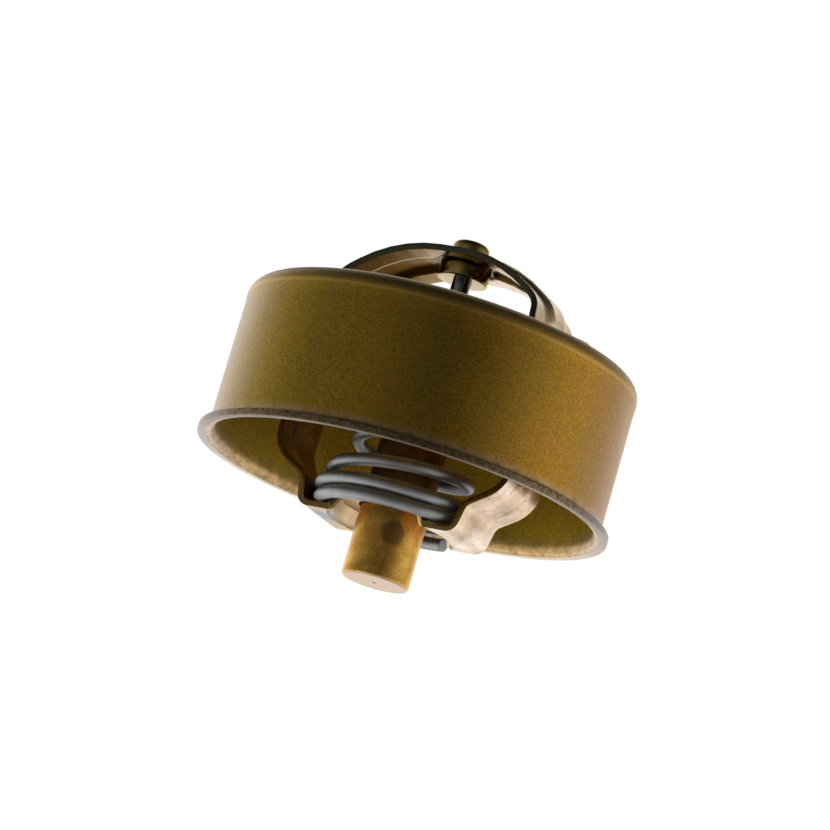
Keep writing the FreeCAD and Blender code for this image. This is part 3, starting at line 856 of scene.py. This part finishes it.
def stripGrid(point, normal, halfWidth, lift):
    # The strip's middle surface: path point plus normal times lift, spread over the half width.
    across = np.linspace(-1, 1, bridge["columns"])
    side = halfWidth[:, None] * across
    raised = lift(point[:, :1], side, point[:, 1:])
    x = point[:, :1] + normal[:, :1] * raised
    z = point[:, 1:] + normal[:, 1:] * raised
    return np.stack([x * np.ones_like(side), side, z * np.ones_like(side)], -1)


def footWidth(half, fromEnd):
    # The foot's corners are quarter circles: the half width shrinks by corner - root of a circle.
    corner = bridge["footCorner"]
    inward = np.clip(corner - fromEnd, 0, corner)
    return half - (corner - np.sqrt(corner ** 2 - inward ** 2))


def makeUpperBridge():
    # The path runs from foot to foot over the crown. The lift is a rib along it and a round pad on top.
    a, b = arch, bridge
    foot = sleeve["height"]
    half = [
        (a["crownHalf"], a["crownLevel"], a["crownBend"]),
        (a["kneeHalf"], a["kneeLevel"], a["kneeBend"]),
        (a["ankleHalf"], foot, b["footBend"] + b["strip"]),
        (b["footReach"], foot),
    ]
    corners = [(-corner[0], *corner[1:]) for corner in reversed(half)] + half
    path = bendLine(corners, closed=False, span=0.2)
    length, easing = stations(path)
    end = length[-1]
    inner = np.arange(easing[-1], end - easing[-1], b["stationStep"])[1:]
    places = np.concatenate([easing, inner, end - easing[::-1]])
    point, normal = alongPath(path, places, length)
    halfWidth = a["half"] + (b["footHalf"] - a["half"]) * (
        1 - smooth(a["flareLevel"], a["waistLevel"], point[:, 1]))
    halfWidth = footWidth(halfWidth, np.minimum(places, end - places))

    def lift(x, y, level):
        rib = 1 - smooth(a["ribHalf"] - a["ribSlope"], a["ribHalf"], np.abs(y))
        rib = rib * smooth(*a["ribEnds"], level)
        pad = 1 - smooth(a["padRadius"] - a["ribSlope"], a["padRadius"], np.hypot(x, y))
        return b["strip"] / 2 + a["emboss"] * np.maximum(rib, pad * (level > a["kneeLevel"]))

    grid = stripGrid(point, normal, halfWidth, lift)
    shape = (grid, gridFaces(*grid.shape[:2], False, False))
    piece = putPiece("upperBridge", [shape], "stamped_brass", "housing", ["upper_bridge"], closed=False)
    thicken(piece, b["strip"], b["edge"])


def makeLowerBridge():
    # One arm is a strip from the floor up to its foot, with a pressed panel, and the other mirrors it.
    k, b = basket, bridge
    foot = sleeve["height"] - sleeve["sheet"] - b["strip"]
    path = bendLine([
        (0, k["floor"]),
        (k["floorHalf"], k["floor"], k["floorBend"]),
        (k["hipHalf"], k["hipLevel"], k["hipBend"]),
        (k["armHalf"], k["armLevel"], k["armBend"]),
        (k["armHalf"], foot, b["footBend"]),
        (b["footReach"], foot),
    ], closed=False, span=0.2)
    length, easing = stations(path)
    end = length[-1]
    inner = np.arange(k["middleHalf"], end - easing[-1], b["stationStep"])
    places = np.concatenate([inner, end - easing[::-1]])
    point, normal = alongPath(path, places, length)
    halfWidth = k["half"] + (b["footHalf"] - k["half"]) * smooth(
        k["waistLevel"], k["flareLevel"], point[:, 1])
    halfWidth = footWidth(halfWidth, end - places)

    def lift(x, y, level):
        panel = 1 - smooth(k["panelHalf"] - k["panelSlope"], k["panelHalf"], np.abs(y))
        panel = panel * smooth(*k["panelLow"], level) * (1 - smooth(*k["panelHigh"], level))
        return b["strip"] / 2 + k["panelDepth"] * panel

    arm = stripGrid(point, normal, halfWidth, lift)
    otherArm = arm * (-1, 1, 1)
    # The floor between the arms: rays from the stem hole to a rectangle, raised into a round boss
    # by a smooth step of the distance from the axis.
    sideways = np.linspace(-1, 1, b["columns"])
    lengthwise = np.linspace(1, -1, 2 * b["columns"])
    right = np.stack([np.full(len(sideways), k["middleHalf"]), k["half"] * sideways], -1)[:-1]
    back = np.stack([k["middleHalf"] * lengthwise, np.full(len(lengthwise), k["half"])], -1)[:-1]
    rim = np.concatenate([right, back, -right, -back])
    reach = np.linalg.norm(rim, axis=1)
    share = np.linspace(0, 1, k["rings"])[:, None]
    distance = k["stemHole"] + (reach - k["stemHole"]) * share
    flat = rim / reach[:, None] * distance[..., None]
    level = k["floor"] + b["strip"] / 2 + k["bossRise"] * (
        1 - smooth(k["bossRim"], k["bossBase"], distance))
    middle = np.concatenate([flat, level[..., None]], -1)
    shapes = [(arm, gridFaces(*arm.shape[:2], False, False)),
              (otherArm, gridFaces(*arm.shape[:2], False, False)),
              (middle, gridFaces(*middle.shape[:2], False, True))]
    piece = putPiece("lowerBridge", shapes, "blasted_brass", "housing", ["lower_bridge"], closed=False)
    thicken(piece, b["strip"], b["edge"])


makeUpperBridge()
makeLowerBridge()
print("bridges made")


# Coil spring

coil = {
    "wire": 1.05,                                # radius of the wire
    "gap": 0.04,
    "first": 11.9,                               # radius of the coil at its start, widest and end
    "widest": 12.3,
    "last": 7.05,
    "turns": 5.85,
    "startAngle": 68.5,
    "stepTurn": 0.64,                            # the turn where the first step of one wire begins
    "stepTurns": 0.35,
    "climbTurn": 2.0,
    "climbEase": 0.6,
    "pitch": 5.9,
    "narrowTurn": 1.6,
    "narrowTurns": 2.8,
    "tipDrop": 0.45,                             # the free lower end hangs a little
    "tipTurns": 0.2,
    "burr": 0.16,                                # rounding of the cut ends
    "burrSteps": 6,
    "around": 32,
    "perTurn": 90,
    "keep": 0.647,                               # share of its height left with the valve wide open
}


def coilLine(turn):
    # Level: two steps of one wire each, then a steady climb that sets in and ends gently, with the
    # free end a little lower. Radius: slightly wider after the first step, then a smooth narrowing.
    c = coil
    bottom = basket["floor"] + bridge["strip"] + c["wire"] + c["gap"]
    top = capsule["flangeLevel"] - c["wire"] - c["gap"]
    lift = 2 * (c["wire"] + c["gap"])

    def climbAfter(start):
        past = np.maximum(0, turn - start)
        return np.where(past < c["climbEase"], past ** 2 / (2 * c["climbEase"]), past - c["climbEase"] / 2)

    wide = smooth(c["stepTurn"], c["stepTurn"] + c["stepTurns"], turn)
    again = smooth(c["stepTurn"] + 1, c["stepTurn"] + 1 + c["stepTurns"], turn)
    climbTurns = (top - bottom - 2 * lift) / c["pitch"]
    climb = climbAfter(c["climbTurn"]) - climbAfter(c["climbTurn"] + climbTurns)
    level = bottom + lift * (wide + again) + c["pitch"] * climb
    level = level - c["tipDrop"] * (1 - smooth(0, c["tipTurns"], turn))
    narrow = smooth(c["narrowTurn"], c["narrowTurn"] + c["narrowTurns"], turn)
    radius = c["first"] + (c["widest"] - c["first"]) * wide - (c["widest"] - c["last"]) * narrow
    angle = np.radians(c["startAngle"] + 360 * turn)
    return np.stack([radius * np.cos(angle), radius * np.sin(angle), level], -1)


def makeSpring():
    # A circle of the wire's radius stands square to the line at each step. At both ends it shrinks by
    # the burr along a quarter circle and then to a point, which closes the wire with a flat cut face.
    c = coil
    turn = np.linspace(0, c["turns"], round(c["turns"] * c["perTurn"]))
    line = coilLine(turn)
    ahead = np.gradient(line, axis=0)
    ahead /= np.linalg.norm(ahead, axis=1)[:, None]
    outward = line * (1, 1, 0)
    outward -= ahead * (outward * ahead).sum(1)[:, None]
    outward /= np.linalg.norm(outward, axis=1)[:, None]
    upward = np.cross(outward, ahead)
    bend = np.linspace(0, math.pi / 2, c["burrSteps"])[:-1]
    shrink = np.concatenate([[0], 1 - c["burr"] / c["wire"] * (1 - np.sin(bend))])
    inward = np.concatenate([[0], c["burr"] * (1 - np.cos(bend))])
    last = len(line) - 1
    index = np.concatenate([np.zeros(len(shrink), int), np.arange(1, last), np.full(len(shrink), last)])
    scale = np.concatenate([shrink, np.ones(last - 1), shrink[::-1]])
    shift = np.concatenate([inward, np.zeros(last - 1), -inward[::-1]])
    angle = np.linspace(0, 2 * math.pi, c["around"], endpoint=False)
    ring = (outward[index][:, None] * np.cos(angle)[None, :, None]
            + upward[index][:, None] * np.sin(angle)[None, :, None]) * c["wire"]
    grid = (line[index] + ahead[index] * shift[:, None])[:, None] + ring * scale[:, None, None]
    faces = gridFaces(*grid.shape[:2], False, True)
    piece = putPiece("coilSpring", [(grid, faces)], "spring_steel", "housing", ["coil_spring"], sharp=60)
    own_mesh(piece)


makeSpring()
print("spring made")


# Turned pieces: each outline of radius and level goes round the valve's axis

plug = {"radius": 4.1, "face": 34.85, "edge": 0.25, "neck": 2.4, "head": 3.0, "headRise": 2.25,
        "round": 0.1}
piston = {"radius": 1.5, "top": 37.25, "tip": -8.3, "taper": -2.3, "tipRadius": 0.9, "round": 0.1}


def makePlug():
    p = plug
    seat = arch["crownLevel"] + arch["emboss"]
    top = seat + bridge["strip"]
    profile = bendLine([
        (piston["radius"], p["face"], p["round"]),
        (p["radius"], p["face"], p["edge"]),
        (p["radius"], seat, p["round"]),
        (p["neck"], seat),
        (p["neck"], top),
        (p["head"], top, p["round"]),
        (p["head"], top + p["headRise"], p["headRise"] / 2),
        (0, top + p["headRise"]),
        (0, piston["top"]),
        (piston["radius"], piston["top"]),
    ], closed=True, span=0.4)
    putPiece("pistonPlug", [turned(profile, around=96)], "turned_brass", "housing", ["piston_plug"])


def makePiston():
    p = piston
    profile = bendLine([
        (0, p["tip"]),
        (p["tipRadius"], p["tip"], p["round"]),
        (p["radius"], p["taper"], p["round"]),
        (p["radius"], p["top"], p["round"]),
        (0, p["top"]),
    ], closed=True, span=0.6)
    putPiece("piston", [turned(profile, around=64)], "ground_steel", "housing", ["piston"])


def makeCapsule():
    # Up the outside from the dimple, round the crimped flange and back down inside.
    c = capsule
    inside = c["radius"] - c["wall"]
    flangeInside = c["flange"] - c["wall"]
    floor = c["bottom"] + c["wall"]
    flangeFloor = c["flangeLevel"] + c["wall"]
    crimpTop = c["crimpLevel"] + c["crimpWall"]
    profile = bendLine([
        (0, c["bottom"] + c["dimple"] / 2),
        (c["dimple"] / 2, c["bottom"], c["dimpleBend"]),
        (c["radius"], c["bottom"], c["edge"]),
        (c["radius"], c["flangeLevel"], c["round"]),
        (c["flange"], c["flangeLevel"], c["round"]),
        (c["flange"], crimpTop, c["round"]),
        (c["crimpInner"], crimpTop, c["round"] / 2),
        (c["crimpInner"], c["crimpLevel"]),
        (flangeInside, c["crimpLevel"]),
        (flangeInside, flangeFloor),
        (inside, flangeFloor),
        (inside, floor),
        (0, floor),
    ], closed=True, span=0.5)
    putPiece("capsuleCup", [turned(profile, around=128)], "cup_brass", "valve", ["capsule_cup"])


guide = {"neck": 5.1, "groove": 4.5, "top": 31.2, "tip": 3.3, "bore": 1.6, "ringLevel": 23.2,
         "ring": 0.8, "collarTop": 20.1, "washer": 3.4, "washerThick": 0.6, "round": 0.15}


def makeGuide():
    # The collar under the crimp, the neck with the lock ring's groove, the tapered top and the bore.
    g = guide
    collar = capsule["flange"] - capsule["wall"]
    profile = bendLine([
        (g["washer"], g["collarTop"]),
        (collar, g["collarTop"]),
        (collar, capsule["crimpLevel"]),
        (g["neck"], capsule["crimpLevel"], g["round"]),
        (g["neck"], g["ringLevel"]),
        (g["groove"], g["ringLevel"]),
        (g["groove"], g["ringLevel"] + g["ring"]),
        (g["neck"], g["ringLevel"] + g["ring"], g["round"]),
        (g["tip"], g["top"], g["bore"] / 2),
        (g["bore"], g["top"], g["round"]),
        (g["bore"], g["collarTop"] + g["washerThick"]),
        (g["washer"], g["collarTop"] + g["washerThick"]),
    ], closed=True, span=0.5)
    putPiece("capsuleGuide", [turned(profile, around=96)], "turned_brass", "valve", ["capsule_guide"])


disc = {"level": 22.25, "thick": 0.9, "hub": 10.3, "rimInner": 15.4, "rim": 18.2,
        "rimLevel": 23.4, "round": 0.12, "bend": 1.2}


def makeDisc():
    # A dished sheet: flat round the neck, a slope, and a flat rim under the seat.
    d = disc
    thick = d["thick"]
    profile = bendLine([
        (guide["neck"], d["level"]),
        (d["hub"], d["level"], d["bend"]),
        (d["rimInner"], d["rimLevel"], d["bend"]),
        (d["rim"], d["rimLevel"], d["round"]),
        (d["rim"], d["rimLevel"] + thick, d["round"]),
        (d["rimInner"], d["rimLevel"] + thick, d["bend"]),
        (d["hub"], d["level"] + thick, d["bend"]),
        (guide["neck"], d["level"] + thick, d["round"]),
    ], closed=True, span=0.5)
    putPiece("valveDisc", [turned(profile, around=160)], "stamped_brass", "valve", ["valve_disc"])


rivet = {"along": 24.3, "across": 4.4, "shank": 1.2, "head": 2.0, "dome": 0.5, "bend": 0.45}


def makeRivets():
    # One outline with a head at each end, moved to the four places in the bridges' feet.
    r = rivet
    top = sleeve["height"] + bridge["strip"]
    bottom = sleeve["height"] - sleeve["sheet"] - bridge["strip"]
    profile = bendLine([
        (0, bottom - r["dome"]),
        (r["head"], bottom - r["dome"], r["bend"]),
        (r["head"], bottom),
        (r["shank"], bottom),
        (r["shank"], top),
        (r["head"], top),
        (r["head"], top + r["dome"], r["bend"]),
        (0, top + r["dome"]),
    ], closed=True, span=0.3)
    grid, faces = turned(profile, around=48)
    places = [(along, across) for along in (1, -1) for across in (1, -1)]
    for number, (along, across) in enumerate(places, 1):
        moved = grid + (along * r["along"], across * r["across"], 0)
        putPiece(f"bridgeRivet{number}", [(moved, faces)], "turned_brass", "housing",
                 [f"bridge_rivet_{number}"])


makePlug()
makePiston()
makeCapsule()
makeGuide()
makeDisc()
makeRivets()
print("turned pieces made")
